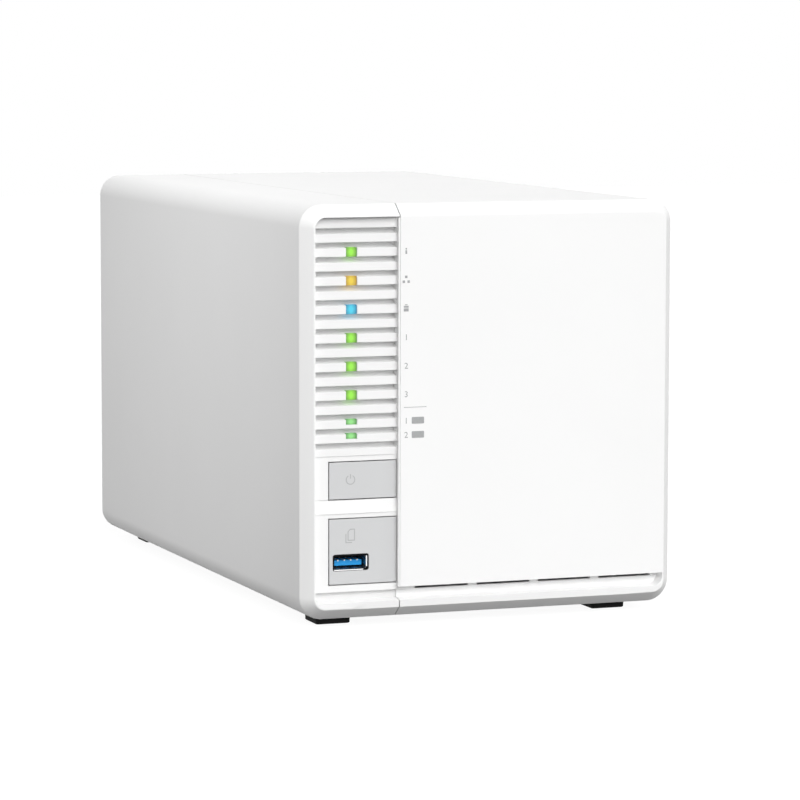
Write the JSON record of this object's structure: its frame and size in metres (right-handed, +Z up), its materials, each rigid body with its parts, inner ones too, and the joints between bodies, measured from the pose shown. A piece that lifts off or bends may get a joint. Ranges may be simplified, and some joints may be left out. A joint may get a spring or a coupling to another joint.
{
  "type": "network attached storage",
  "caption": "White desktop storage box with a sliding cover, louvred light strip, push buttons, front socket, pull-out drive trays with levers, boards, rear ports and a fan.",
  "frame": {"origin": "middle of the footprint, on the surface the feet rest on", "axes": "+X to the right seen from the front, the front faces -Y, +Z up"},
  "size_m": [0.142, 0.2602, 0.15],
  "materials": {
    "white_plastic": "fine matt texture",
    "grey_plastic": "matt",
    "black_plastic": "matt",
    "clear_plastic": "clear, lit from behind",
    "blue_plastic": "satin",
    "rubber": "matt",
    "steel_sheet": "zinc plated",
    "bright_steel": "nickel plated",
    "black_steel": "fine black texture",
    "aluminium": "cast or extruded",
    "green_board": "solder mask",
    "tray_plastic": "matt"
  },
  "bodies": {
    "base": {"left_shell": "white_plastic", "indicator_panel": "white_plastic", "power_switch": "black_plastic", "copy_switch": "black_plastic", "drive_socket_1": "black_plastic", "drive_socket_2": "black_plastic", "drive_socket_3": "black_plastic", "memory_socket": "black_plastic", "module_socket_1": "black_plastic", "module_socket_2": "black_plastic", "power_inlet": "black_plastic", "reset_switch": "black_plastic", "fan_frame": "black_plastic", "status_light_pipe": "clear_plastic", "module_light_pipe": "clear_plastic", "front_usb_tongue": "blue_plastic", "foot_1": "rubber", "foot_2": "rubber", "foot_3": "rubber", "foot_4": "rubber", "cage": "steel_sheet", "divider_1": "steel_sheet", "divider_2": "steel_sheet", "board_tray": "steel_sheet", "front_usb_shell": "bright_steel", "network_port": "bright_steel", "usb_ports": "bright_steel", "video_port": "bright_steel", "fan_screw_1": "bright_steel", "fan_screw_2": "bright_steel", "fan_screw_3": "bright_steel", "fan_screw_4": "bright_steel", "cover_screw_1": "bright_steel", "cover_screw_2": "bright_steel", "rear_panel": "black_steel", "heat_sink": "aluminium", "front_board": "green_board", "backplane": "green_board", "main_board": "green_board", "memory_module": "green_board", "storage_module_1": "green_board", "storage_module_2": "green_board"},
    "cover": {"cover_shell": "white_plastic"},
    "power_key": {"power_button": "grey_plastic"},
    "copy_key": {"copy_button": "grey_plastic"},
    "reset_key": {"reset_button": "grey_plastic"},
    "rotor": {"fan_rotor": "black_plastic"},
    "carrier_1": {"tray_1": "tray_plastic", "drive_1": "aluminium", "lever_pin_1": "bright_steel"},
    "handle_1": {"lever_1": "grey_plastic"},
    "carrier_2": {"tray_2": "tray_plastic", "drive_2": "aluminium", "lever_pin_2": "bright_steel"},
    "handle_2": {"lever_2": "grey_plastic"},
    "carrier_3": {"tray_3": "tray_plastic", "drive_3": "aluminium", "lever_pin_3": "bright_steel"},
    "handle_3": {"lever_3": "grey_plastic"}
  },
  "joints": [
    {"name": "cover_slide", "type": "slide", "parent": "base", "child": "cover", "axis": [0, -1, 0], "range_m": [0, 0.27]},
    {"name": "power_press", "type": "slide", "parent": "base", "child": "power_key", "axis": [0, 1, 0], "range_m": [0, 0.0008], "stiffness_N_per_m": 1500, "springref_m": -0.0003},
    {"name": "copy_press", "type": "slide", "parent": "base", "child": "copy_key", "axis": [0, 1, 0], "range_m": [0, 0.0008], "stiffness_N_per_m": 1500, "springref_m": -0.0003},
    {"name": "reset_press", "type": "slide", "parent": "base", "child": "reset_key", "axis": [0, -1, 0], "range_m": [0, 0.0004], "stiffness_N_per_m": 500, "springref_m": -0.0002},
    {"name": "fan_spin", "type": "hinge", "parent": "base", "child": "rotor", "pos_m": [0.01865, 0.10175, 0.07675], "axis": [0, 1, 0], "continuous": true},
    {"name": "tray_1_slide", "type": "slide", "parent": "base", "child": "carrier_1", "axis": [0, -1, 0], "range_m": [0, 0.1625]},
    {"name": "lever_1_turn", "type": "hinge", "parent": "carrier_1", "child": "handle_1", "pos_m": [-0.01345, -0.11755, 0.0253], "axis": [1, 0, 0], "range_deg": [0, 60.5]},
    {"name": "tray_2_slide", "type": "slide", "parent": "base", "child": "carrier_2", "axis": [0, -1, 0], "range_m": [0, 0.1625]},
    {"name": "lever_2_turn", "type": "hinge", "parent": "carrier_2", "child": "handle_2", "pos_m": [0.01865, -0.11755, 0.0253], "axis": [1, 0, 0], "range_deg": [0, 60.5]},
    {"name": "tray_3_slide", "type": "slide", "parent": "base", "child": "carrier_3", "axis": [0, -1, 0], "range_m": [0, 0.1625]},
    {"name": "lever_3_turn", "type": "hinge", "parent": "carrier_3", "child": "handle_3", "pos_m": [0.05075, -0.11755, 0.0253], "axis": [1, 0, 0], "range_deg": [0, 60.5]}
  ],
  "couplings": [
    {"joint": "tray_1_slide", "follows": "cover_slide", "ratio": 0.6},
    {"joint": "lever_1_turn", "follows": "cover_slide", "rad_per_m": 3.8785},
    {"joint": "tray_2_slide", "follows": "cover_slide", "ratio": 0.6},
    {"joint": "lever_2_turn", "follows": "cover_slide", "rad_per_m": 3.8785},
    {"joint": "tray_3_slide", "follows": "cover_slide", "ratio": 0.6},
    {"joint": "lever_3_turn", "follows": "cover_slide", "rad_per_m": 3.8785}
  ]
}
